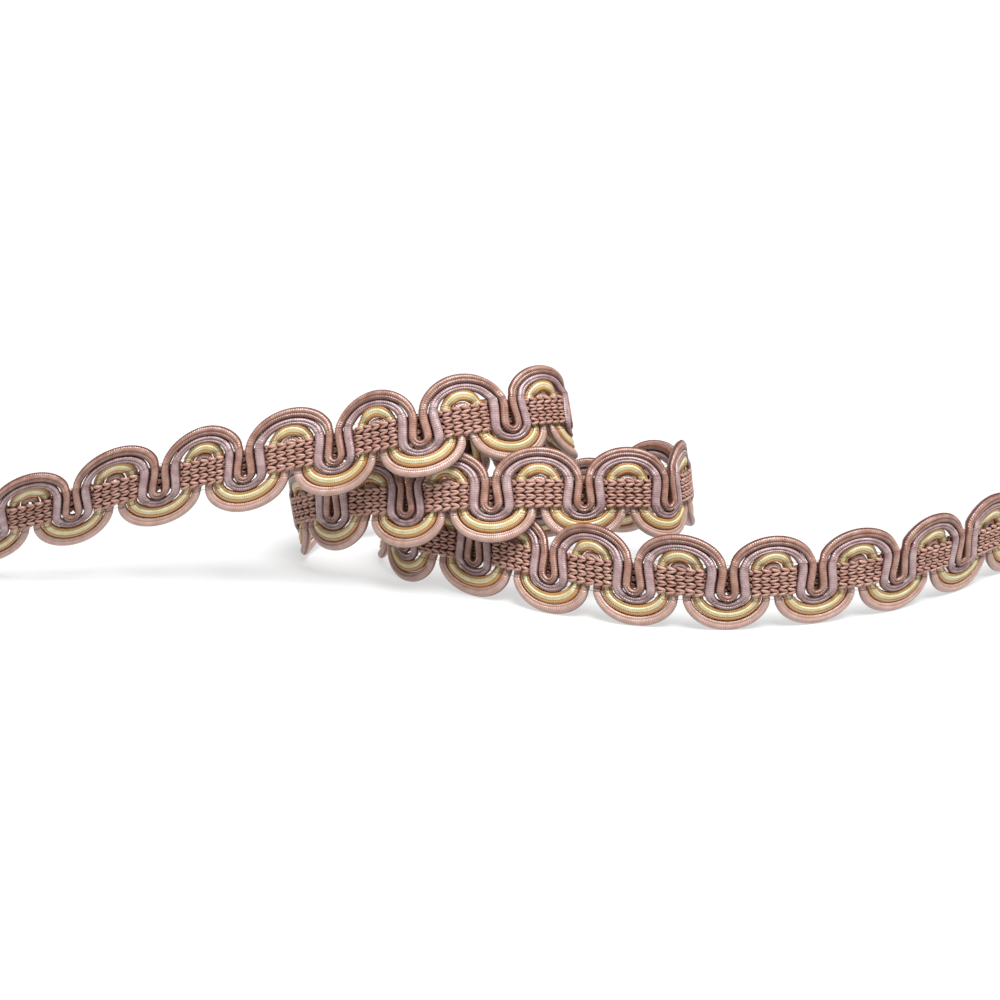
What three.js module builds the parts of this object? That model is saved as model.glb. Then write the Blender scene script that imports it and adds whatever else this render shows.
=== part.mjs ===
// Gimp braid trim: four wrapped cords run side by side in one serpentine, and a
// knitted band passes in front of two of them and behind the other two.
// The braid stands on its scalloped edge and winds through three levels of a loose coil.
// Millimetres, +Z up, X along the coil's long side, the outside face towards -Y in front.

import * as THREE from "three";

// The braid laid flat: u runs along it, v across it from the scallops, w out of its face.
const REPEAT = 19.4;
const HALF_REPEAT = REPEAT / 2;
const CORD_SIDE = 1.35;
const CORD_HALF = CORD_SIDE / 2;

// Columns bulge out of the braid's face between these heights, and arcs lie in its middle.
const RISE_FROM = 5.6;
const RISE_FULL = 7.6;
const FALL_FROM = 13.9;
const FALL_DONE = 15.4;

// The knitted band.
const BAND_LOW = 7.8;
const BAND_HIGH = 13.1;
const BAND_THICKNESS = 0.4;
const BAND_FRONT = 0.98;
const BAND_BACK = -1.05;
const BAND_CROSSING_START = 4.5;
const BAND_CROSSING_END = 4.9;
const BAND_COLOUR = "#b98270";

const SATIN_ROUGHNESS = 0.55;
const KNIT_ROUGHNESS = 0.7;

// The route's rows are counted from a point in front of the coil; the part's origin is on the
// floor under the middle of the whole coil.
const COIL_CENTRE = new THREE.Vector3(-9.0, 32.05, 0);

// Whatever lies closer to the floor than this is pressed flat on it.
const PRESSED_HEIGHT = 0.5;

// The braid's direction is taken over this much of the route on each side of a point.
const TURN_REACH = 3.0;

// How far past the first and last row of the route the braid is cut, in repeats.
const CUT_OVERHANG = 0.5;
const ROUTE_STEPS = 24;

// Each cord: column is its distance from the valley's middle, bottom and top are its
// lowest and highest heights, and the arcs spring from lowSpring and highSpring.
const CORDS = [
  { name: "brown_cord", colour: "#a57666", column: 1.25, bottom: 6.75, lowSpring: 8.0,
    highSpring: 13.6, top: 19.3, outOfFace: 0.45, lowAngles: [0, 45, 90], highAngles: [0, 32, 62, 90] },
  { name: "mauve_cord", colour: "#b99b9e", column: 3.35, bottom: 4.75, lowSpring: 8.2,
    highSpring: 14.0, top: 17.2, outOfFace: 0.45, lowAngles: [0, 45, 90], highAngles: [0, 45, 90] },
  { name: "yellow_cord", colour: "#e1d7a0", column: 6.05, bottom: 2.8, lowSpring: 8.0,
    highSpring: 12.9, top: 15.35, outOfFace: -0.6, lowAngles: [0, 32, 62, 90], highAngles: [0, 45, 90] },
  { name: "pink_cord", colour: "#d2afa0", column: 8.4, bottom: CORD_HALF, lowSpring: 6.9,
    highSpring: 12.6, top: 13.4, outOfFace: -0.6, lowAngles: [8, 36, 63, 90], highAngles: [0, 90] },
];

// The lower edge's route, a row for each valley between two panels: its place, how far the
// top edge tips away from the braid's face in degrees, and how far the braid is pulled
// askew along itself for each millimetre of its height.
const ROUTE = [
  // the uppermost level, from its cut end on the floor up to the coil
  { x: -129.5, y: 36.5, z: 0.0, lean: -22, skew: 0.2 },
  { x: -110.5, y: 35.0, z: 3.8, lean: -22, skew: 0.3 },
  { x: -92.0, y: 33.0, z: 8.3, lean: -18, skew: 0.32 },
  { x: -73.4, y: 31.0, z: 13.2, lean: -8, skew: 0.3 },
  { x: -54.5, y: 28.5, z: 17.0, lean: 4, skew: 0.2 },
  { x: -34.5, y: 25.0, z: 21.7, lean: 13, skew: 0.16 },
  { x: -15.6, y: 20.0, z: 27.3, lean: 17, skew: 0.05 },
  { x: 3.7, y: 26.7, z: 28.7, lean: 17, skew: -0.07 },
  { x: 16.2, y: 38.8, z: 25.8, lean: 18, skew: -0.05 },
  // behind, down to the second level
  { x: 6.3, y: 52.8, z: 16.8, lean: 12, skew: -0.2 },
  { x: -9.8, y: 63.2, z: 11.2, lean: 10, skew: -0.25 },
  { x: -29.3, y: 62.5, z: 5.5, lean: 4, skew: -0.3 },
  { x: -43.0, y: 49.6, z: 0.6, lean: -7, skew: -0.05 },
  // the second level in front
  { x: -35.3, y: 33.8, z: 6.5, lean: 2, skew: 0.17 },
  { x: -19.4, y: 22.4, z: 10.8, lean: 15, skew: 0.02 },
  { x: -1.4, y: 16.8, z: 13.7, lean: 17, skew: 0.0 },
  { x: 17.7, y: 17.0, z: 13.9, lean: 14, skew: 0.0 },
  { x: 35.8, y: 21.3, z: 13.1, lean: 7, skew: -0.05 },
  { x: 41.2, y: 38.0, z: 10.8, lean: 8, skew: -0.12 },
  // behind, down to the floor
  { x: 27.8, y: 50.0, z: 5.4, lean: 12, skew: -0.2 },
  { x: 9.8, y: 58.0, z: 2.0, lean: 30, skew: -0.15 },
  { x: -9.2, y: 61.0, z: 0.0, lean: 30, skew: -0.05 },
  { x: -26.0, y: 50.0, z: 0.0, lean: 12, skew: 0.0 },
  // the lowest level in front, standing on the floor to its cut end
  { x: -20.6, y: 33.4, z: 0.0, lean: 6, skew: -0.05 },
  { x: -5.6, y: 22.2, z: 0.0, lean: 14, skew: -0.12 },
  { x: 10.4, y: 11.0, z: 0.0, lean: 16, skew: -0.14 },
  { x: 28.2, y: 3.2, z: 0.0, lean: 10, skew: -0.08 },
  { x: 47.0, y: 0.6, z: 0.0, lean: 0, skew: 0.0 },
  { x: 65.4, y: 4.6, z: 0.0, lean: -2, skew: 0.0 },
  { x: 82.8, y: 13.2, z: 0.0, lean: -6, skew: 0.0 },
  { x: 97.7, y: 25.9, z: 0.0, lean: -7, skew: -0.02 },
  { x: 111.0, y: 40.5, z: 0.0, lean: -6, skew: 0.0 },
];

const UP = new THREE.Vector3(0, 0, 1);

// The route is one smooth curve; each repeat of the braid fills the stretch between two rows.
function makeRoute() {
  const rows = ROUTE.map((row) => new THREE.Vector3(row.x, row.y, row.z).sub(COIL_CENTRE));
  const last = rows.length - 1;
  const before = rows[0].clone().multiplyScalar(2).sub(rows[1]);
  const after = rows[last].clone().multiplyScalar(2).sub(rows[last - 1]);
  before.z = rows[0].z;
  after.z = rows[last].z;
  const points = [before, ...rows, after];
  const curve = new THREE.CatmullRomCurve3(points, false, "centripetal");
  const spans = points.length - 1;
  // The share of each span's length walked at even steps of the curve's own parameter.
  const walked = [];
  for (let span = 0; span < spans; span += 1) {
    const lengths = [0];
    let previous = curve.getPoint(span / spans);
    for (let step = 1; step <= ROUTE_STEPS; step += 1) {
      const point = curve.getPoint((span + step / ROUTE_STEPS) / spans);
      lengths.push(lengths[step - 1] + point.distanceTo(previous));
      previous = point;
    }
    walked.push(lengths);
  }
  return { curve, spans, walked };
}

const route = makeRoute();

// The curve's parameter at a place counted in repeats from the first row of the route.
function routeParameter(repeats) {
  const place = THREE.MathUtils.clamp(repeats + 1, 0, route.spans - 1e-6);
  const span = Math.floor(place);
  const lengths = route.walked[span];
  const wanted = (place - span) * lengths[ROUTE_STEPS];
  let step = 1;
  while (lengths[step] < wanted) step += 1;
  const share = (wanted - lengths[step - 1]) / (lengths[step] - lengths[step - 1]);
  return (span + (step - 1 + share) / ROUTE_STEPS) / route.spans;
}

// A column of the route at any place along it, as a smooth cubic through the rows.
function columnAt(name, repeats) {
  const last = ROUTE.length - 1;
  const position = THREE.MathUtils.clamp(repeats, 0, last);
  const row = Math.min(Math.floor(position), last - 1);
  const blend = position - row;
  const value = (index) => ROUTE[THREE.MathUtils.clamp(index, 0, last)][name];
  const slopeFrom = (value(row + 1) - value(row - 1)) / 2;
  const slopeTo = (value(row + 2) - value(row)) / 2;
  const rise = value(row + 1) - value(row);
  const square = 3 * rise - 2 * slopeFrom - slopeTo;
  const cube = slopeFrom + slopeTo - 2 * rise;
  return value(row) + blend * (slopeFrom + blend * (square + blend * cube));
}

// A point of the flat braid, put where the coil carries it.
function place(u, v, w) {
  const repeats = u / REPEAT;
  const shifted = repeats + (v * columnAt("skew", repeats)) / REPEAT;
  const before = route.curve.getPoint(routeParameter(shifted - TURN_REACH / REPEAT));
  const after = route.curve.getPoint(routeParameter(shifted + TURN_REACH / REPEAT));
  const along = after.sub(before).normalize();
  const across = UP.clone().addScaledVector(along, -along.z).normalize();
  const outward = new THREE.Vector3().crossVectors(along, across);
  const lean = THREE.MathUtils.degToRad(columnAt("lean", repeats));
  const rise = across.clone().multiplyScalar(Math.cos(lean)).addScaledVector(outward, -Math.sin(lean));
  const face = outward.clone().multiplyScalar(Math.cos(lean)).addScaledVector(across, Math.sin(lean));
  const point = route.curve.getPoint(routeParameter(shifted));
  point.addScaledVector(rise, v).addScaledVector(face, w);
  if (point.z < PRESSED_HEIGHT) point.z = 0;
  return point;
}

// A closed sweep through sections of four points each, with both ends capped.
function sweep(sections) {
  const positions = sections.flat().flatMap((point) => [point.x, point.y, point.z]);
  const faces = [];
  for (let ring = 0; ring < sections.length - 1; ring += 1) {
    for (let side = 0; side < 4; side += 1) {
      const a = ring * 4 + side;
      const b = ring * 4 + ((side + 1) % 4);
      faces.push(a, a + 4, b, b, a + 4, b + 4);
    }
  }
  const end = (sections.length - 1) * 4;
  faces.push(0, 1, 2, 0, 2, 3);
  faces.push(end, end + 2, end + 1, end, end + 3, end + 2);
  const geometry = new THREE.BufferGeometry();
  geometry.setAttribute("position", new THREE.Float32BufferAttribute(positions, 3));
  geometry.setIndex(faces);
  geometry.computeVertexNormals();
  return geometry;
}

// The bends of one cord over half a repeat, from the valley's middle to the panel's middle.
function halfWave(cord) {
  const bends = [];
  for (const degrees of cord.lowAngles) {
    const angle = THREE.MathUtils.degToRad(degrees);
    bends.push({
      u: cord.column * Math.sin(angle),
      v: cord.lowSpring - (cord.lowSpring - cord.bottom) * Math.cos(angle),
    });
  }
  for (const degrees of cord.highAngles) {
    const angle = THREE.MathUtils.degToRad(degrees);
    bends.push({
      u: HALF_REPEAT - (HALF_REPEAT - cord.column) * Math.cos(angle),
      v: cord.highSpring + (cord.top - cord.highSpring) * Math.sin(angle),
    });
  }
  return bends;
}

function outOfFace(cord, v) {
  const rise = THREE.MathUtils.smoothstep(v, RISE_FROM, RISE_FULL);
  const fall = 1 - THREE.MathUtils.smoothstep(v, FALL_FROM, FALL_DONE);
  return cord.outOfFace * rise * fall;
}

// The whole cord: half waves there and back, from the first cut end to the last.
function cordLine(cord) {
  const half = halfWave(cord);
  const line = [];
  const first = -2 * CUT_OVERHANG;
  const last = 2 * (ROUTE.length - 1) + 2 * CUT_OVERHANG;
  for (let index = first; index < last; index += 1) {
    const rising = Math.abs(index % 2) === 0;
    const start = index * HALF_REPEAT;
    const bends = rising ? half : half.map(({ u, v }) => ({ u: HALF_REPEAT - u, v })).reverse();
    for (const { u, v } of bends) {
      const previous = line[line.length - 1];
      const repeated = previous && Math.hypot(previous.u - start - u, previous.v - v) < 1e-6;
      if (!repeated) line.push({ u: start + u, v });
    }
  }
  return line;
}

// The cord's section is square, turned with the line so that its sides stay parallel to it.
function cordGeometry(cord) {
  const line = cordLine(cord);
  const sections = line.map(({ u, v }, index) => {
    const from = line[Math.max(index - 1, 0)];
    const to = line[Math.min(index + 1, line.length - 1)];
    const before = new THREE.Vector2(u - from.u, v - from.v).normalize();
    const after = new THREE.Vector2(to.u - u, to.v - v).normalize();
    const along = before.clone().add(after).normalize();
    const mitre = CORD_HALF / Math.max(along.dot(index === 0 ? after : before), 0.5);
    const sideU = -along.y * mitre;
    const sideV = along.x * mitre;
    const w = outOfFace(cord, v);
    return [
      place(u + sideU, v + sideV, w + CORD_HALF),
      place(u + sideU, v + sideV, w - CORD_HALF),
      place(u - sideU, v - sideV, w - CORD_HALF),
      place(u - sideU, v - sideV, w + CORD_HALF),
    ];
  });
  return sweep(sections);
}

// The band's waves: behind the valley, through between two cords, and in front at the panel.
function bandLine() {
  const rows = ROUTE.length - 1;
  const line = [{ u: -CUT_OVERHANG * REPEAT, w: BAND_FRONT }];
  for (let row = 0; row <= rows; row += 1) {
    const middle = row * REPEAT;
    line.push({ u: middle - BAND_CROSSING_END, w: BAND_FRONT });
    line.push({ u: middle - BAND_CROSSING_START, w: BAND_BACK });
    line.push({ u: middle, w: BAND_BACK });
    line.push({ u: middle + BAND_CROSSING_START, w: BAND_BACK });
    line.push({ u: middle + BAND_CROSSING_END, w: BAND_FRONT });
    line.push({ u: middle + HALF_REPEAT, w: BAND_FRONT });
  }
  return line;
}

function bandGeometry() {
  const line = bandLine();
  const half = BAND_THICKNESS / 2;
  const sections = line.map(({ u, w }, index) => {
    const from = line[Math.max(index - 1, 0)];
    const to = line[Math.min(index + 1, line.length - 1)];
    const before = new THREE.Vector2(u - from.u, w - from.w).normalize();
    const after = new THREE.Vector2(to.u - u, to.w - w).normalize();
    const along = before.clone().add(after).normalize();
    const mitre = half / along.dot(index === 0 ? after : before);
    const sideU = -along.y * mitre;
    const sideW = along.x * mitre;
    return [
      place(u + sideU, BAND_HIGH, w + sideW),
      place(u - sideU, BAND_HIGH, w - sideW),
      place(u - sideU, BAND_LOW, w - sideW),
      place(u + sideU, BAND_LOW, w + sideW),
    ];
  });
  return sweep(sections);
}

function thread(colour, roughness) {
  return new THREE.MeshStandardMaterial({ color: colour, roughness, metalness: 0 });
}

const braid = new THREE.Group();
for (const cord of CORDS) {
  const mesh = new THREE.Mesh(cordGeometry(cord), thread(cord.colour, SATIN_ROUGHNESS));
  mesh.name = cord.name;
  braid.add(mesh);
}
const band = new THREE.Mesh(bandGeometry(), thread(BAND_COLOUR, KNIT_ROUGHNESS));
band.name = "knit_band";
braid.add(band);

export default braid;
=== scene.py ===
"""The looks of a scalloped gimp braid that stands on its edge in a loose, stepped coil.

Four wrapped cords run side by side in one serpentine. A knitted band passes in front of two
of them and behind the other two, and thin binding threads cross them all. Sizes of the flat
braid are in millimetres: u runs along it, v across it from the scallops, w out of its face.
"""

import math

import bpy
import numpy as np
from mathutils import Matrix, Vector


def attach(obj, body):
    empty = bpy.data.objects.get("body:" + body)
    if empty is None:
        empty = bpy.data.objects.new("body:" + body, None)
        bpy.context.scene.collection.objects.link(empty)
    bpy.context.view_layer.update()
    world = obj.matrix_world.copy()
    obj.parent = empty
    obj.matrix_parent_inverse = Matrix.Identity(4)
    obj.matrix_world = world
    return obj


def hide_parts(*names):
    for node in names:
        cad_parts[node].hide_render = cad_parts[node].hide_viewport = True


METRE = 0.001
SEED = 7

# The flat braid.
REPEAT = 19.4
HALF_REPEAT = REPEAT / 2
CUT_OVERHANG = 0.5

# Columns bulge out of the braid's face between these heights, and arcs lie in its middle.
RISE_FROM = 5.6
RISE_FULL = 7.6
FALL_FROM = 13.9
FALL_DONE = 15.4

# Wrapping of the cords.
WRAP_PITCH = 0.46
WRAP_RELIEF = 0.05
WRAP_SLANT = 0.16
RINGS_PER_WRAP = 2

# The cords' unevenness: how far arcs and whole stretches of a cord stray from their places.
LOW_SCATTER = 0.06
HIGH_SCATTER = 0.07
WANDER_REACH = 6.0
WANDER_SIZE = 0.05
WRAP_UNEVENNESS = (0.6, 1.3)

# The knitted band.
WALE_HEIGHTS = np.array([-2.2, -0.7, 0.7, 2.2])
BAND_MIDDLE = 10.25
BAND_HALF_WIDTH = 2.6
BAND_FRONT = 0.95
BAND_BACK = -0.95
BAND_CROSSING_START = 4.1
BAND_CROSSING_END = 5.1
STITCHES_PER_REPEAT = 11
LEG_SIDES = 6

# Heights at which binding threads cross the cords, and how they draw the cords in.
BINDING_HEIGHTS = (6.15, 13.95)
BINDING_RADIUS = 0.03
BINDING_STEP = 0.35
PINCH_DEPTH = 0.07
PINCH_REACH = 0.22

# The braid's route, as in the solids.
COIL_CENTRE = np.array([-9.0, 32.05, 0.0])
TURN_REACH = 3.0
SPAN_STEPS = 240

# Each cord: its columns are distances from the valley's middle, its line goes through bottom
# and top, its arcs spring from the spring heights, and the halves are half of its width in
# each place. Out is how far its columns stand out of the face. Each of its grooves has its
# place as a share of the half width, its depth and its reach, and the arc grooves fade from
# the arcs to the columns.
RIB_AT = 0.05
RIB_GROOVE = ((RIB_AT, 0.5, 0.38),)
LOWER_SEAM = -0.32
UPPER_SEAM = 0.5
PINK_LINE = 0.4
CORDS = (
    {"name": "brown_gimp", "node": "brown_cord", "low_column": 1.5, "high_column": 1.08, "bottom": 6.85,
     "top": 19.0, "low_spring": 8.4, "high_spring": 12.6, "low_half": 0.8, "column_half": 0.93,
     "top_half": 1.1, "half_thickness": 0.92, "out": 0.5, "arc_grooves": RIB_GROOVE, "grooves": ()},
    {"name": "mauve_gimp", "node": "mauve_cord", "low_column": 3.68, "high_column": 3.25, "bottom": 5.2,
     "top": 17.3, "low_spring": 8.0, "high_spring": 12.6, "low_half": 0.9, "column_half": 1.08,
     "top_half": 0.8, "half_thickness": 0.92, "out": 0.5, "arc_grooves": RIB_GROOVE, "grooves": ()},
    {"name": "yellow_gimp", "node": "yellow_cord", "low_column": 6.25, "high_column": 6.0, "bottom": 3.22,
     "top": 15.65, "low_spring": 7.4, "high_spring": 12.0, "low_half": 1.26, "column_half": 1.24,
     "top_half": 1.32, "half_thickness": 0.92, "out": -0.6, "arc_grooves": ((0.0, 0.22, 0.3),),
     "grooves": ((LOWER_SEAM, 0.4, 0.2), (UPPER_SEAM, 0.4, 0.2))},
    {"name": "pink_gimp", "node": "pink_cord", "low_column": 8.36, "high_column": 8.45, "bottom": 1.0,
     "top": 13.5, "low_spring": 6.9, "high_spring": 12.4, "low_half": 1.05, "column_half": 0.96,
     "top_half": 0.75, "half_thickness": 0.92, "out": -0.6, "arc_grooves": ((PINK_LINE, 0.3, 0.25),),
     "grooves": ()},
)

# The lower edge's route, a row for each valley between two panels: its place, how far the
# top edge tips away from the braid's face in degrees, and how far the braid is pulled
# askew along itself for each millimetre of its height.
ROUTE_COLUMNS = ("x", "y", "z", "lean", "skew")
ROUTE = np.array([
    # the uppermost level, from its cut end on the floor up to the coil
    (-129.5, 36.5, 0.0, -22, 0.2),
    (-110.5, 35.0, 3.8, -22, 0.3),
    (-92.0, 33.0, 8.3, -18, 0.32),
    (-73.4, 31.0, 13.2, -8, 0.3),
    (-54.5, 28.5, 17.0, 4, 0.2),
    (-34.5, 25.0, 21.7, 13, 0.16),
    (-15.6, 20.0, 27.3, 17, 0.05),
    (3.7, 26.7, 28.7, 17, -0.07),
    (16.2, 38.8, 25.8, 18, -0.05),
    # behind, down to the second level
    (6.3, 52.8, 16.8, 12, -0.2),
    (-9.8, 63.2, 11.2, 10, -0.25),
    (-29.3, 62.5, 5.5, 4, -0.3),
    (-43.0, 49.6, 0.6, -7, -0.05),
    # the second level in front
    (-35.3, 33.8, 6.5, 2, 0.17),
    (-19.4, 22.4, 10.8, 15, 0.02),
    (-1.4, 16.8, 13.7, 17, 0.0),
    (17.7, 17.0, 13.9, 14, 0.0),
    (35.8, 21.3, 13.1, 7, -0.05),
    (41.2, 38.0, 10.8, 8, -0.12),
    # behind, down to the floor
    (27.8, 50.0, 5.4, 12, -0.2),
    (9.8, 58.0, 2.0, 30, -0.15),
    (-9.2, 61.0, 0.0, 30, -0.05),
    (-26.0, 50.0, 0.0, 12, 0.0),
    # the lowest level in front, standing on the floor to its cut end
    (-20.6, 33.4, 0.0, 6, -0.05),
    (-5.6, 22.2, 0.0, 14, -0.12),
    (10.4, 11.0, 0.0, 16, -0.14),
    (28.2, 3.2, 0.0, 10, -0.08),
    (47.0, 0.6, 0.0, 0, 0.0),
    (65.4, 4.6, 0.0, -2, 0.0),
    (82.8, 13.2, 0.0, -6, 0.0),
    (97.7, 25.9, 0.0, -7, -0.02),
    (111.0, 40.5, 0.0, -6, 0.0),
], dtype=float)
LAST_ROW = len(ROUTE) - 1
BRAID_START = -CUT_OVERHANG * REPEAT
BRAID_END = (LAST_ROW + CUT_OVERHANG) * REPEAT

# The camera stands at the photo's angle.
CAMERA_FOCUS = Vector((9.0, -7.05, 20.6)) * METRE
CAMERA_DISTANCE = 0.7
CAMERA_ELEVATION = math.radians(17.0)
SENSOR_WIDTH = 36.0
VIEW_WIDTH = 0.21277


def smooth(value, start, end):
    """0 before start, 1 past end, and a smooth rise between them."""
    share = np.clip((value - start) / (end - start), 0, 1)
    return share * share * (3 - 2 * share)


# Where the coil carries the flat braid.

def route_table():
    """Points at even steps inside each span of the route's centripetal curve."""
    rows = ROUTE[:, :3] - COIL_CENTRE
    before = 2 * rows[0] - rows[1]
    after = 2 * rows[-1] - rows[-2]
    before[2] = rows[0, 2]
    after[2] = rows[-1, 2]
    points = np.vstack([before, rows, after])
    knots = np.vstack([2 * points[0] - points[1], points, 2 * points[-1] - points[-2]])
    share = np.linspace(0, 1, SPAN_STEPS + 1)[:, None]
    table = []
    for p0, p1, p2, p3 in zip(knots, knots[1:], knots[2:], knots[3:]):
        d0 = math.sqrt(np.linalg.norm(p1 - p0))
        d1 = math.sqrt(np.linalg.norm(p2 - p1))
        d2 = math.sqrt(np.linalg.norm(p3 - p2))
        leaving = ((p1 - p0) / d0 - (p2 - p0) / (d0 + d1) + (p2 - p1) / d1) * d1
        arriving = ((p2 - p1) / d1 - (p3 - p1) / (d1 + d2) + (p3 - p2) / d2) * d1
        square = 3 * (p2 - p1) - 2 * leaving - arriving
        cube = 2 * (p1 - p2) + leaving + arriving
        curve = p1 + share * (leaving + share * (square + share * cube))
        walked = np.concatenate([[0], np.cumsum(np.linalg.norm(np.diff(curve, axis=0), axis=1))])
        even = np.linspace(0, walked[-1], SPAN_STEPS + 1)[:-1]
        table.append(np.stack([np.interp(even, walked, curve[:, axis]) for axis in range(3)], -1))
    table.append(points[-1:])
    return np.vstack(table)


ROUTE_TABLE = route_table()


def route_at(repeats):
    """The route's points at places counted in repeats from its first row."""
    index = np.clip((repeats + 1) * SPAN_STEPS, 0, len(ROUTE_TABLE) - 1)
    steps = np.arange(len(ROUTE_TABLE))
    return np.stack([np.interp(index, steps, ROUTE_TABLE[:, axis]) for axis in range(3)], -1)


def column_at(name, repeats):
    """A column of the route at any place along it, as a smooth cubic through the rows."""
    column = ROUTE[:, ROUTE_COLUMNS.index(name)]
    position = np.clip(repeats, 0, LAST_ROW)
    row = np.minimum(np.floor(position).astype(int), LAST_ROW - 1)
    blend = position - row

    def value(index):
        return column[np.clip(index, 0, LAST_ROW)]

    slope_from = (value(row + 1) - value(row - 1)) / 2
    slope_to = (value(row + 2) - value(row)) / 2
    rise = value(row + 1) - value(row)
    square = 3 * rise - 2 * slope_from - slope_to
    cube = slope_from + slope_to - 2 * rise
    return value(row) + blend * (slope_from + blend * (square + blend * cube))


def unit(vectors):
    return vectors / np.linalg.norm(vectors, axis=-1, keepdims=True)


def place(u, v, w):
    """Points of the flat braid, in metres, where the coil carries them."""
    repeats = u / REPEAT
    shifted = repeats + v * column_at("skew", repeats) / REPEAT
    before = route_at(shifted - TURN_REACH / REPEAT)
    after = route_at(shifted + TURN_REACH / REPEAT)
    along = unit(after - before)
    across = unit(np.array([0.0, 0.0, 1.0]) - along * along[..., 2:3])
    outward = np.cross(along, across)
    lean = np.radians(column_at("lean", repeats))[..., None]
    rise = across * np.cos(lean) - outward * np.sin(lean)
    face = outward * np.cos(lean) + across * np.sin(lean)
    points = route_at(shifted) + rise * v[..., None] + face * w[..., None]
    points[..., 2] = np.maximum(points[..., 2], 0)
    return points * METRE


# Meshes.

def make_mesh(name, points, faces, attributes=None):
    """A smooth-shaded mesh object from arrays of points and faces, with point attributes."""
    mesh = bpy.data.meshes.new(name)
    mesh.from_pydata(points.tolist(), [], faces)
    for label, values in (attributes or {}).items():
        attribute = mesh.attributes.new(label, "FLOAT", "POINT")
        attribute.data.foreach_set("value", np.ascontiguousarray(values, dtype=np.float32).ravel())
    mesh.shade_smooth()
    mesh.update()
    piece = bpy.data.objects.new(name, mesh)
    bpy.context.scene.collection.objects.link(piece)
    return piece


def tube_faces(rings, sides, first=0):
    """The quads round a tube of rings, with a cap on each end."""
    ring = np.arange(rings - 1)[:, None] * sides + first
    side = np.arange(sides)[None, :]
    following = (side + 1) % sides
    quads = np.stack([ring + side, ring + sides + side, ring + sides + following, ring + following], -1)
    faces = quads.reshape(-1, 4).tolist()
    faces.append(list(range(first, first + sides)))
    last = first + (rings - 1) * sides
    faces.append(list(range(last + sides - 1, last - 1, -1)))
    return faces


# The wrapped cords.

# The section's points, as shares of half its width, from one side over the front to the
# other side and back behind. Two of them lie in the yellow cord's seams.
FRONT_SHARES = np.array([-1, -0.87, -0.65, -0.5, LOWER_SEAM, -0.18, 0, 0.2, 0.36, UPPER_SEAM, 0.7, 0.87])
BACK_SHARES = np.array([1.0, 0.62, 0.2, -0.2, -0.62])
SECTION_SHARES = np.concatenate([FRONT_SHARES, BACK_SHARES])
SECTION_SIGNS = np.concatenate([np.ones(len(FRONT_SHARES)), -np.ones(len(BACK_SHARES))])
SECTION_POWER = 2.1

# How far the columns show the arcs' ribs, from 0 to 1, and the points along arcs and columns.
COLUMN_SPLIT = 0.12
ARC_POINTS = 40
COLUMN_POINTS = 12


def half_wave(cord, low, high):
    """One cord over half a repeat, from the valley's middle to the panel's middle.

    Returns columns of u, v, half width and how far the cord shows as two ribs."""
    turn = np.linspace(0, math.pi / 2, ARC_POINTS)
    bottom = cord["bottom"] + low
    top = cord["top"] + high
    lower_u = cord["low_column"] * np.sin(turn)
    lower_v = cord["low_spring"] - (cord["low_spring"] - bottom) * np.cos(turn)
    lower_half = cord["column_half"] + (cord["low_half"] - cord["column_half"]) * np.cos(turn)
    between = np.linspace(0, 1, COLUMN_POINTS + 2)[1:-1]
    middle_u = cord["low_column"] + (cord["high_column"] - cord["low_column"]) * smooth(between, 0, 1)
    middle_v = cord["low_spring"] + (cord["high_spring"] - cord["low_spring"]) * between
    middle_half = np.full_like(between, cord["column_half"])
    middle_split = np.full_like(between, COLUMN_SPLIT)
    upper_u = HALF_REPEAT - (HALF_REPEAT - cord["high_column"]) * np.cos(turn)
    upper_v = cord["high_spring"] + (top - cord["high_spring"]) * np.sin(turn)
    upper_half = cord["column_half"] + (cord["top_half"] - cord["column_half"]) * np.sin(turn)
    arc_split = COLUMN_SPLIT + (1 - COLUMN_SPLIT) * np.cos(turn) ** 0.5
    return np.concatenate([
        np.stack([lower_u, lower_v, lower_half, arc_split], -1),
        np.stack([middle_u, middle_v, middle_half, middle_split], -1),
        np.stack([upper_u, upper_v, upper_half, arc_split[::-1]], -1),
    ])


def cord_line(cord, random):
    """The cord's whole line at even steps, with its half width and its split into two ribs."""
    halves = []
    first = round(2 * BRAID_START / REPEAT)
    last = round(2 * BRAID_END / REPEAT)
    lows = random.normal(0, LOW_SCATTER, LAST_ROW + 3)
    highs = random.normal(0, HIGH_SCATTER, LAST_ROW + 3)
    for index in range(first, last):
        valley = (index + 1) // 2
        panel = index // 2
        half = half_wave(cord, lows[valley + 1], highs[panel + 1])
        if index % 2:
            half = half[::-1].copy()
            half[:, 0] = HALF_REPEAT - half[:, 0]
        half[:, 0] += index * HALF_REPEAT
        halves.append(half if index == first else half[1:])
    line = np.concatenate(halves)
    steps = np.linalg.norm(np.diff(line[:, :2], axis=0), axis=1)
    keep = np.concatenate([[True], steps > 1e-6])
    line = line[keep]
    walked = np.concatenate([[0], np.cumsum(np.linalg.norm(np.diff(line[:, :2], axis=0), axis=1))])
    step = WRAP_PITCH / RINGS_PER_WRAP
    count = int(walked[-1] / step)
    even = np.linspace(0, walked[-1], count + 1)
    return even, np.stack([np.interp(even, walked, line[:, axis]) for axis in range(4)], -1)


def wander(random, run, reach, size):
    """A smooth random wandering along a run, that turns over about each reach."""
    knots = np.arange(0, run[-1] + 2 * reach, reach)
    values = random.normal(0, size, len(knots))
    position = run / reach
    index = position.astype(int)
    share = position - index
    share = share * share * (3 - 2 * share)
    return values[index] * (1 - share) + values[index + 1] * share


def out_of_face(cord, v):
    """How far a cord's line stands out of the braid's middle plane at a height."""
    return cord["out"] * smooth(v, RISE_FROM, RISE_FULL) * (1 - smooth(v, FALL_FROM, FALL_DONE))


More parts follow.
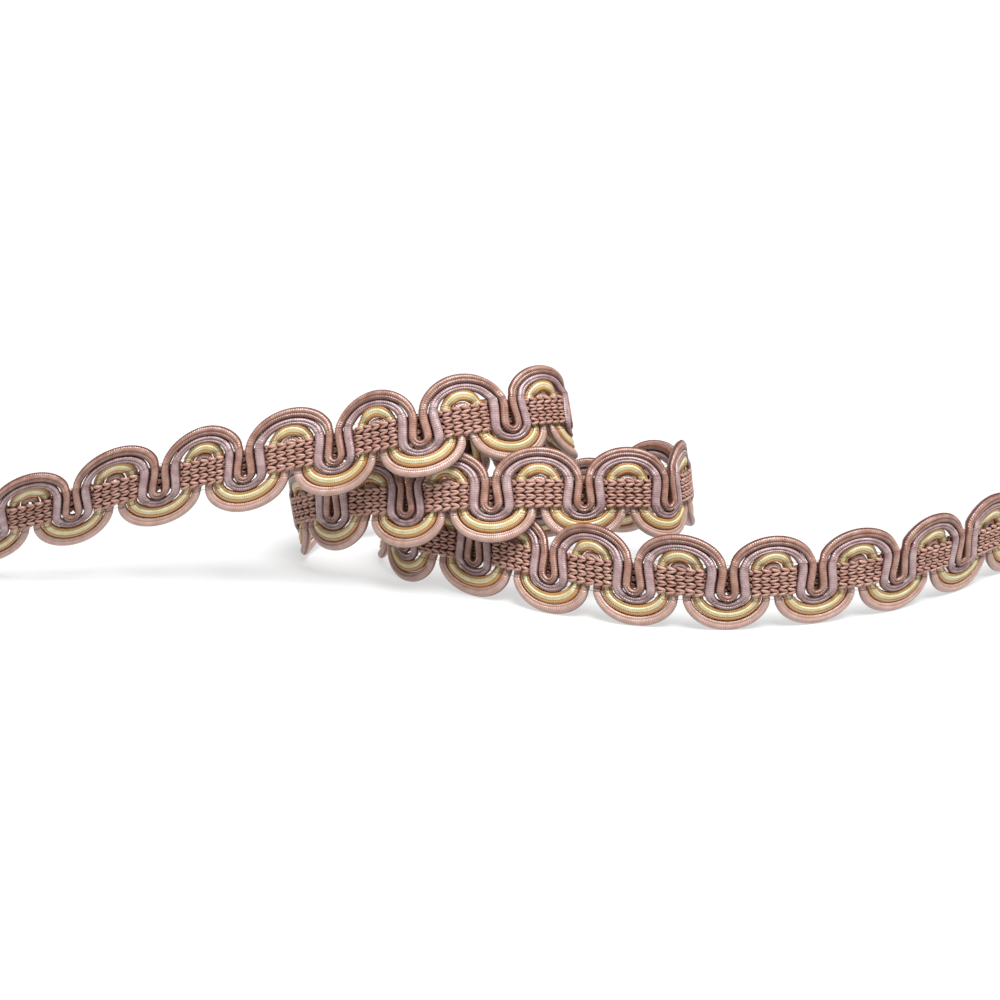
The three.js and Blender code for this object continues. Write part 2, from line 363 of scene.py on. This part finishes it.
def pinch(v):
    """How far the binding threads draw a cord in, where they cross it."""
    near = sum(np.exp(-((v - height) / PINCH_REACH) ** 2) for height in BINDING_HEIGHTS)
    return 1 - PINCH_DEPTH * near


def groove(share, place_at, reach):
    """A groove's depth over the section, 1 at its middle and 0 past its reach."""
    return (1 - np.clip(np.abs(share - place_at) / reach, 0, 1)) ** 1.5


def make_cord(cord, random):
    """A whole cord, two rings to each of its wraps, and its length."""
    run, line = cord_line(cord, random)
    u, v, half, split = line.T
    du = np.gradient(u, run)
    dv = np.gradient(v, run)
    size = np.hypot(du, dv)
    du /= size
    dv /= size
    w = out_of_face(cord, v) + wander(random, run, WANDER_REACH, WANDER_SIZE)
    rings = len(run)
    wraps = np.arange(rings) // RINGS_PER_WRAP
    crest = (np.arange(rings) % RINGS_PER_WRAP == 0).astype(float)
    uneven = random.uniform(*WRAP_UNEVENNESS, wraps[-1] + 1)[wraps]
    relief = WRAP_RELIEF * uneven * (crest - 0.5)
    share = SECTION_SHARES[None, :]
    profile = np.sqrt(1 - np.abs(share) ** SECTION_POWER) * np.ones((rings, 1))
    for place_at, depth, reach in cord["arc_grooves"]:
        profile *= 1 - depth * split[:, None] * groove(share, place_at, reach)
    for place_at, depth, reach in cord["grooves"]:
        profile *= 1 - depth * groove(share, place_at, reach)
    thick = (cord["half_thickness"] * pinch(v) + relief)[:, None]
    wide = (half * pinch(v) + relief)[:, None]
    offset = share * wide
    height = profile * thick * SECTION_SIGNS[None, :]
    slant = WRAP_SLANT * offset
    points_u = u[:, None] - dv[:, None] * offset + du[:, None] * slant
    points_v = v[:, None] + du[:, None] * offset + dv[:, None] * slant
    points_w = w[:, None] + height
    points = place(points_u, points_v, points_w).reshape(-1, 3)
    everywhere = np.ones_like(points_u)
    attributes = {
        "run": run[:, None] * everywhere,
        "across": share * everywhere,
        "split": split[:, None] * everywhere,
        "height": points_v,
    }
    sides = len(SECTION_SHARES)
    piece = make_mesh(cord["name"], points, tube_faces(rings, sides), attributes)
    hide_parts(cord["node"])
    return piece, run[-1]


# The knitted band.

def band_wave():
    """One repeat of the band's wave from a valley's middle: lengths along it, u and w."""
    u = np.linspace(0, REPEAT, 400)
    distance = np.minimum(u, REPEAT - u)
    w = BAND_BACK + (BAND_FRONT - BAND_BACK) * smooth(distance, BAND_CROSSING_START, BAND_CROSSING_END)
    walked = np.concatenate([[0], np.cumsum(np.hypot(np.diff(u), np.diff(w)))])
    return walked, u, w


BAND_WALKED, BAND_U, BAND_W = band_wave()
BAND_REPEAT_LENGTH = BAND_WALKED[-1]
STITCH = BAND_REPEAT_LENGTH / STITCHES_PER_REPEAT
SLOPE_REACH = 0.25


def on_band(along, v, height):
    """Points at a length along the band and a height above its middle surface."""
    turns = np.floor(along / BAND_REPEAT_LENGTH)
    rest = along - turns * BAND_REPEAT_LENGTH

    def at(length):
        over = np.floor(length / BAND_REPEAT_LENGTH)
        inside = length - over * BAND_REPEAT_LENGTH
        u = np.interp(inside, BAND_WALKED, BAND_U) + over * REPEAT
        return u, np.interp(inside, BAND_WALKED, BAND_W)

    u, w = at(rest)
    u_before, w_before = at(rest - SLOPE_REACH)
    u_after, w_after = at(rest + SLOPE_REACH)
    slope_u = u_after - u_before
    slope_w = w_after - w_before
    size = np.hypot(slope_u, slope_w)
    u = u + turns * REPEAT - slope_w / size * height
    w = w + slope_u / size * height
    return place(u, v, w)


# A leg's rings along it and their thickness, its length in stitches, how deep its ends lie in
# the band, how far its middle rises from there, and how much flatter than wide it is.
LEG_SHARES = np.array([0.0, 0.14, 0.38, 0.64, 0.88, 1.0])
LEG_SWELLS = np.array([0.35, 0.82, 1.0, 0.94, 0.62, 0.3])
LEG_LENGTH = 1.12
LEG_SINK = -0.12
LEG_RISE = 0.3
LEG_FLATNESS = 0.9

# Every second wale is shifted by this share of a stitch, and the legs' places scatter.
WALE_SHIFT = 0.12
ALONG_SCATTER = 0.05
LIFT_SCATTER = 0.03
ACROSS_SCATTER = 0.03
SWELL_UNEVENNESS = (0.92, 1.1)

# Half the width of a leg and its distance from the middle of its wale at its open end and
# at its point, in the two inner wales and in the two wales along the edges.
INNER_LEG = (0.31, 0.5, 0.06)
EDGE_LEG = (0.37, 0.6, 0.04)


def make_stitches(random):
    """Every stitch is a V of two plump legs with its point along the band."""
    first = math.ceil(BRAID_START / REPEAT * STITCHES_PER_REPEAT)
    last = math.floor(BRAID_END / REPEAT * STITCHES_PER_REPEAT) - 1
    wales = np.arange(len(WALE_HEIGHTS))
    stitch, wale, side = np.meshgrid(np.arange(first, last), wales, (-1.0, 1.0), indexing="ij")
    stitch = stitch.ravel()
    wale = wale.ravel()
    side = side.ravel()
    at_edge = (wale == wales[0]) | (wale == wales[-1])
    radius, tail, apex = np.where(at_edge[:, None], EDGE_LEG, INNER_LEG).T
    legs = len(stitch)
    start = stitch * STITCH + WALE_SHIFT * STITCH * (wale % 2) + random.normal(0, ALONG_SCATTER, legs)
    lift = random.normal(0, LIFT_SCATTER, legs)
    swell = radius * random.uniform(*SWELL_UNEVENNESS, legs)
    length = STITCH * LEG_LENGTH
    share = LEG_SHARES[None, :]
    along = start[:, None] + share * length
    spread = tail[:, None] + (apex - tail)[:, None] * share**1.2
    middle = BAND_MIDDLE + WALE_HEIGHTS[wale]
    v = middle[:, None] + side[:, None] * spread + random.normal(0, ACROSS_SCATTER, legs)[:, None]
    height = LEG_SINK + LEG_RISE * np.sin(math.pi * share**0.85) + lift[:, None]
    thick = LEG_SWELLS[None, :] * swell[:, None]
    angle = np.arange(LEG_SIDES) / LEG_SIDES * 2 * math.pi
    lean = np.arctan2(apex - tail, length) * side
    sideways = thick[..., None] * np.cos(angle)
    points = on_band(
        along[..., None] - sideways * np.sin(lean)[:, None, None],
        v[..., None] + sideways * np.cos(lean)[:, None, None],
        height[..., None] + thick[..., None] * LEG_FLATNESS * np.sin(angle),
    )
    rings = len(LEG_SHARES)
    faces = []
    for leg in range(legs):
        faces += tube_faces(rings, LEG_SIDES, leg * rings * LEG_SIDES)
    everywhere = np.ones(points.shape[:-1])
    attributes = {
        "run": share[..., None] * length * everywhere,
        "across": np.cos(angle) * everywhere,
        "tone": random.uniform(0, 1, legs)[:, None, None] * everywhere,
    }
    piece = make_mesh("knit_stitches", points.reshape(-1, 3), faces, attributes)
    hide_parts("knit_band")
    return piece


def make_inlay():
    """The yarns inside the knit, which close the spaces between its stitches; their very dark colour is
    painted shade for the holes between the stitches.
    """
    half_thickness = 0.12
    depth = -0.25
    step = 0.5
    along = np.arange(BRAID_START / REPEAT, BRAID_END / REPEAT, step / REPEAT) * BAND_REPEAT_LENGTH
    shares = np.array([-1, -0.5, 0, 0.5, 1, 0.5, 0, -0.5])
    signs = np.array([1, 1, 1, 1, -1, -1, -1, -1])
    v = BAND_MIDDLE + shares * BAND_HALF_WIDTH
    height = depth + signs * half_thickness
    everywhere = np.ones((len(along), len(shares)))
    points = on_band(along[:, None] * everywhere, v * everywhere, height * everywhere)
    return make_mesh("knit_inlay", points.reshape(-1, 3), tube_faces(len(along), len(shares)))


# The binding threads.

# How deep a thread sinks between two cords, and its sag into them as a share of its radius.
BETWEEN_CORDS = -0.35
THREAD_SINK = 0.8
THREAD_SIDES = 4


def cord_front(u, v, side):
    """How far the cords' surface stands out along a line at one height."""
    distance = np.abs((u + HALF_REPEAT) % REPEAT - HALF_REPEAT)
    surface = np.full_like(u, BETWEEN_CORDS)
    for cord in CORDS:
        column = cord["low_column"]
        half = cord["column_half"]
        if v > cord["high_spring"]:
            column = cord["high_column"]
            angle = math.asin(min(1, (v - cord["high_spring"]) / (cord["top"] - cord["high_spring"])))
            column = HALF_REPEAT - (HALF_REPEAT - column) * math.cos(angle)
        if v < cord["low_spring"]:
            share = min(1, max(0, (cord["low_spring"] - v) / (cord["low_spring"] - cord["bottom"])))
            column = column * math.sin(math.acos(share))
        share = np.clip(1 - ((distance - column) / half) ** 2, 0, 1)
        middle = float(out_of_face(cord, np.float64(v))) * side
        bulge = middle + cord["half_thickness"] * np.sqrt(share)
        surface = np.where(share > 0, np.maximum(surface, bulge), surface)
    return surface


def make_binding(name, v, side):
    """One thread over the cords' fronts (side 1) or backs (side -1), at one height."""
    short_of_end = 0.2
    u = np.arange(BRAID_START + short_of_end, BRAID_END - short_of_end, BINDING_STEP)
    surface = cord_front(u, v, side)
    reach = np.array([0.25, 0.5, 0.25])
    surface = np.maximum(np.convolve(np.pad(surface, 1, mode="edge"), reach, mode="valid"), surface)
    w = side * (surface - THREAD_SINK * BINDING_RADIUS)
    angle = np.arange(THREAD_SIDES) / THREAD_SIDES * 2 * math.pi
    everywhere = np.ones((len(u), THREAD_SIDES))
    points = place(
        u[:, None] * everywhere,
        (v + BINDING_RADIUS * np.cos(angle)) * everywhere,
        w[:, None] + BINDING_RADIUS * np.sin(angle),
    )
    return make_mesh(name, points.reshape(-1, 3), tube_faces(len(u), len(angle)))


# Materials.

# How much brighter than its own colour a face towards the camera shows in this light.
LIGHT_ON_FACE = 1.35


def seen(red, green, blue):
    """The yarn's own colour, from the red, green and blue (up to 255) that it shows when lit."""
    shares = (channel / 255 for channel in (red, green, blue))
    linear = (s / 12.92 if s <= 0.04045 else ((s + 0.055) / 1.055) ** 2.4 for s in shares)
    return (*(channel / LIGHT_ON_FACE for channel in linear), 1.0)


class Shader:
    """A material's node tree with short calls for the nodes that it uses."""

    def __init__(self, name):
        self.material = bpy.data.materials.new(name)
        self.material.use_nodes = True
        self.tree = self.material.node_tree
        self.surface = self.tree.nodes["Principled BSDF"]

    def node(self, kind, **values):
        made = self.tree.nodes.new(kind)
        for name, value in values.items():
            setattr(made, name, value)
        return made

    def link(self, source, target):
        if isinstance(source, (int, float, tuple)):
            target.default_value = source
        else:
            self.tree.links.new(source, target)

    def attribute(self, name):
        return self.node("ShaderNodeAttribute", attribute_name=name).outputs["Fac"]

    def math(self, operation, first, second=0.0, clamp=False):
        made = self.node("ShaderNodeMath", operation=operation, use_clamp=clamp)
        self.link(first, made.inputs[0])
        self.link(second, made.inputs[1])
        return made.outputs[0]

    def rise(self, value, start, end):
        made = self.node("ShaderNodeMapRange", interpolation_type="SMOOTHSTEP")
        self.link(value, made.inputs["Value"])
        made.inputs["From Min"].default_value = start
        made.inputs["From Max"].default_value = end
        return made.outputs["Result"]

    def vector(self, x, y, z):
        made = self.node("ShaderNodeCombineXYZ")
        for source, target in zip((x, y, z), made.inputs):
            self.link(source, target)
        return made.outputs[0]

    def noise(self, vector, scale, detail=2.0):
        made = self.node("ShaderNodeTexNoise")
        self.link(vector, made.inputs["Vector"])
        made.inputs["Scale"].default_value = scale
        made.inputs["Detail"].default_value = detail
        return made.outputs["Fac"]

    def mix(self, share, first, second):
        made = self.node("ShaderNodeMix", data_type="RGBA")
        self.link(share, made.inputs["Factor"])
        self.link(first, made.inputs["A"])
        self.link(second, made.inputs["B"])
        return made.outputs["Result"]

    def bump(self, height, distance, strength=1.0):
        made = self.node("ShaderNodeBump")
        self.link(height, made.inputs["Height"])
        made.inputs["Distance"].default_value = distance
        made.inputs["Strength"].default_value = strength
        self.link(made.outputs[0], self.surface.inputs["Normal"])

    def finish(self, colour, roughness, sheen, specular):
        self.link(colour, self.surface.inputs["Base Color"])
        self.surface.inputs["Roughness"].default_value = roughness
        self.surface.inputs["Sheen Weight"].default_value = sheen
        self.surface.inputs["Sheen Roughness"].default_value = 0.4
        self.surface.inputs["Specular IOR Level"].default_value = specular
        return self.material


def gimp_material(name, yarn, line_at, groove_shade_strength, underside_shade_strength, shaded_rim_from, edge=None):
    """Satin threads wrapped side by side round a core, in one colour or with edge strands.

    The yarn is its base, bright, deep and shade colours. Painted shade darkens the groove between the ribs
    and the cord's underside in the arcs, its rims everywhere, the valleys between its wraps, the seams of
    its edge strands and the creases at the binding threads."""
    base, bright, deep, shade_colour = (seen(*colour) for colour in yarn)
    shader = Shader(name)
    run = shader.attribute("run")
    across = shader.attribute("across")
    split = shader.attribute("split")
    height = shader.attribute("height")
    slanted = shader.math("ADD", run, shader.math("MULTIPLY", across, WRAP_SLANT))
    phase = shader.math("FRACT", shader.math("DIVIDE", slanted, WRAP_PITCH))
    from_crest = shader.math("ABSOLUTE", shader.math("SUBTRACT", phase, 0.5))
    fibres = shader.noise(shader.vector(slanted, shader.math("MULTIPLY", across, 0.35), 0.0), 9.0)
    patches = shader.noise(shader.vector(run, shader.math("MULTIPLY", across, 0.8), 0.0), 0.45)
    colour = shader.mix(shader.rise(patches, 0.35, 0.65), base, bright)
    colour = shader.mix(shader.math("MULTIPLY", shader.rise(fibres, 0.45, 0.75), 0.35), colour, deep)
    wide = shader.math("ABSOLUTE", across)
    if edge:
        for seam_at, outward in ((LOWER_SEAM, -1.0), (UPPER_SEAM, 1.0)):
            past_seam = shader.math("MULTIPLY", shader.math("SUBTRACT", across, seam_at), outward)
            colour = shader.mix(shader.rise(past_seam, -0.04, 0.04), colour, edge)
            # Painted shade: a dark line along each seam between the pale strands and the edge strands, in
            # the groove there.
            from_seam = shader.math("ABSOLUTE", past_seam)
            seam_shade = shader.math("SUBTRACT", 1.0, shader.rise(from_seam, 0.0, 0.1))
            colour = shader.mix(shader.math("MULTIPLY", seam_shade, 0.45), colour, shade_colour)
    # Painted shade: the colour turns to the deep colour in the valleys between the wrap crests.
    between = shader.math("SUBTRACT", 1.0, shader.rise(from_crest, 0.0, 0.22))
    colour = shader.mix(shader.math("MULTIPLY", between, 0.5), colour, deep)
    # Painted shade: a dark line along the groove between the two ribs, strongest in the arcs.
    from_line = shader.math("ABSOLUTE", shader.math("SUBTRACT", across, line_at))
    near_line = shader.math("SUBTRACT", 1.0, shader.rise(from_line, 0.0, 0.24))
    line = shader.math("MULTIPLY", near_line, shader.rise(split, 0.35, 0.9))
    colour = shader.mix(shader.math("MULTIPLY", line, groove_shade_strength), colour, shade_colour)
    # Painted shade: the lower side of the cord darkens in the arcs, as under a light from above.
    below = shader.math("MULTIPLY", across, -1.0)
    underside_shade = shader.math("MULTIPLY", shader.rise(below, -0.1, 0.6), split)
    colour = shader.mix(shader.math("MULTIPLY", underside_shade, underside_shade_strength), colour, shade_colour)
    # Painted shade: the cord's rims darken where it meets its neighbours.
    colour = shader.mix(shader.math("MULTIPLY", shader.rise(wide, shaded_rim_from, 0.97), 0.85), colour, shade_colour)
    # Painted shade: dark creases where the binding threads draw the cord in.
    for line_height in BINDING_HEIGHTS:
        from_crease = shader.math("ABSOLUTE", shader.math("SUBTRACT", height, line_height))
        crease_shade = shader.math("SUBTRACT", 1.0, shader.rise(from_crease, 0.05, 0.22))
        colour = shader.mix(shader.math("MULTIPLY", crease_shade, 0.4), colour, shade_colour)
    relief = shader.math("ADD", shader.rise(from_crest, 0.0, 0.4), shader.math("MULTIPLY", fibres, 0.5))
    shader.bump(relief, 0.00004)
    return shader.finish(colour, roughness=0.27, sheen=0.03, specular=0.85)


def knit_material(name, base, bright, deep):
    """Soft plied yarn, each leg in its own tone, with painted shade at its ends where they sink into the
    band.
    """
    leg_length = STITCH * LEG_LENGTH
    shader = Shader(name)
    run = shader.attribute("run")
    across = shader.attribute("across")
    tone = shader.attribute("tone")
    stretched = shader.vector(shader.math("MULTIPLY", run, 0.4), shader.math("MULTIPLY", across, 1.6), tone)
    fibres = shader.noise(stretched, 5.0)
    colour = shader.mix(tone, base, bright)
    colour = shader.mix(shader.math("MULTIPLY", shader.rise(fibres, 0.4, 0.7), 0.5), colour, deep)
    # Painted shade: each leg turns to the deep colour towards its ends.
    from_middle = shader.math("ABSOLUTE", shader.math("SUBTRACT", run, leg_length / 2))
    leg_end_shade = shader.rise(from_middle, 0.35 * leg_length, 0.52 * leg_length)
    colour = shader.mix(shader.math("MULTIPLY", leg_end_shade, 0.6), colour, deep)
    shader.bump(fibres, 0.00005)
    return shader.finish(colour, roughness=0.36, sheen=0.04, specular=0.6)


def plain_yarn_material(name, base, deep, scale):
    """Thin yarn that hardly shows, in patches of two tones."""
    shader = Shader(name)
    coordinates = shader.node("ShaderNodeTexCoord")
    fibres = shader.noise(coordinates.outputs["Object"], scale)
    colour = shader.mix(shader.rise(fibres, 0.35, 0.65), base, deep)
    shader.bump(fibres, 0.00005)
    return shader.finish(colour, roughness=0.6, sheen=0.1, specular=0.3)


def add_piece(piece, material):
    """Gives a piece its material and lets it ride on the part."""
    piece.data.materials.append(material)
    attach(piece, "root")


# Floor, light and camera.

def make_floor():
    size = 4.0
    corners = [(-size, -size, 0), (size, -size, 0), (size, size, 0), (-size, size, 0)]
    mesh = bpy.data.meshes.new("floor")
    mesh.from_pydata(corners, [], [(0, 1, 2, 3)])
    floor = bpy.data.objects.new("floor", mesh)
    bpy.context.scene.collection.objects.link(floor)
    shader = Shader("floor_paint")
    shader.finish((0.26, 0.26, 0.26, 1.0), roughness=0.9, sheen=0.0, specular=0.1)
    shader.surface.inputs["Emission Color"].default_value = (1.0, 1.0, 1.0, 1.0)
    shader.surface.inputs["Emission Strength"].default_value = 0.6
    mesh.materials.append(shader.material)


def make_sun(name, from_side, strength, breadth):
    """A soft light from one side, as from a wide lamp far away."""
    light = bpy.data.lights.new(name, "SUN")
    light.energy = strength
    light.angle = math.radians(breadth)
    lamp = bpy.data.objects.new(name, light)
    lamp.rotation_euler = (-Vector(from_side)).to_track_quat("-Z", "Y").to_euler()
    bpy.context.scene.collection.objects.link(lamp)


def make_world(strength):
    """Even white light from all sides."""
    world = bpy.data.worlds.new("studio")
    world.use_nodes = True
    world.node_tree.nodes["Background"].inputs["Color"].default_value = (1.0, 1.0, 1.0, 1.0)
    world.node_tree.nodes["Background"].inputs["Strength"].default_value = strength
    bpy.context.scene.world = world


def make_camera():
    camera = bpy.data.cameras.new("camera")
    camera.sensor_width = SENSOR_WIDTH
    camera.lens = SENSOR_WIDTH * CAMERA_DISTANCE / VIEW_WIDTH
    camera.clip_start = 0.01
    holder = bpy.data.objects.new("camera", camera)
    back = Vector((0, -math.cos(CAMERA_ELEVATION), math.sin(CAMERA_ELEVATION)))
    holder.location = CAMERA_FOCUS + back * CAMERA_DISTANCE
    holder.rotation_euler = (-back).to_track_quat("-Z", "Y").to_euler()
    bpy.context.scene.collection.objects.link(holder)
    bpy.context.scene.camera = holder


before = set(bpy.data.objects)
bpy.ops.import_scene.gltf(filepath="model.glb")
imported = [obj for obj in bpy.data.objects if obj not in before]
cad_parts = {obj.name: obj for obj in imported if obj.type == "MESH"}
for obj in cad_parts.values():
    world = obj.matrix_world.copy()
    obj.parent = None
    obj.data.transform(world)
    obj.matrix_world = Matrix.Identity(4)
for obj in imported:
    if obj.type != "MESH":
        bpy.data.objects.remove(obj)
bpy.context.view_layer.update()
make_camera()

BROWN_YARN = ((176, 125, 107), (206, 160, 141), (122, 68, 54), (76, 24, 17))
MAUVE_YARN = ((184, 148, 149), (214, 185, 184), (138, 96, 96), (88, 38, 36))
YELLOW_YARN = ((242, 230, 172), (253, 248, 208), (208, 190, 118), (136, 74, 30))
PINK_YARN = ((207, 166, 151), (222, 186, 172), (168, 122, 106), (120, 66, 54))
GOLD_EDGE = (212, 148, 84)
MATERIALS = {
    "brown_gimp": gimp_material(
        "brown_satin", BROWN_YARN, line_at=RIB_AT, groove_shade_strength=0.6, underside_shade_strength=0.75, shaded_rim_from=0.66,
    ),
    "mauve_gimp": gimp_material(
        "mauve_satin", MAUVE_YARN, line_at=RIB_AT, groove_shade_strength=0.6, underside_shade_strength=0.6, shaded_rim_from=0.7,
    ),
    "yellow_gimp": gimp_material(
        "yellow_satin", YELLOW_YARN, line_at=0.1, groove_shade_strength=0.3, underside_shade_strength=0.0, shaded_rim_from=0.92,
        edge=seen(*GOLD_EDGE),
    ),
    "pink_gimp": gimp_material(
        "pink_satin", PINK_YARN, line_at=PINK_LINE, groove_shade_strength=0.4, underside_shade_strength=0.1, shaded_rim_from=0.8,
    ),
}

random = np.random.default_rng(SEED)
for cord in CORDS:
    piece, length = make_cord(cord, random)
    add_piece(piece, MATERIALS[cord["name"]])
    print(f"{cord['name']}: {length / 1000:.3f} m of cord")

knit_yarn = knit_material("knit_yarn", seen(193, 140, 121), seen(222, 175, 157), seen(116, 60, 49))
add_piece(make_stitches(random), knit_yarn)

# Real inlay yarns, coloured very dark as painted shade for the holes between the stitches.
inlay_shade_yarn = plain_yarn_material("inlay_shade_yarn", seen(76, 32, 26), seen(50, 20, 16), scale=900.0)
add_piece(make_inlay(), inlay_shade_yarn)

binding_yarn = plain_yarn_material("binding_yarn", seen(200, 164, 150), seen(160, 120, 106), scale=1500.0)
for row, height in enumerate(BINDING_HEIGHTS):
    for side, face in ((1, "front"), (-1, "back")):
        add_piece(make_binding(f"binding_{face}_{row}", height, side), binding_yarn)

make_floor()
make_world(strength=0.3)
make_sun("key", from_side=(0.2, -0.36, 1.0), strength=5.6, breadth=32.0)
bpy.context.scene.view_settings.view_transform = "Standard"
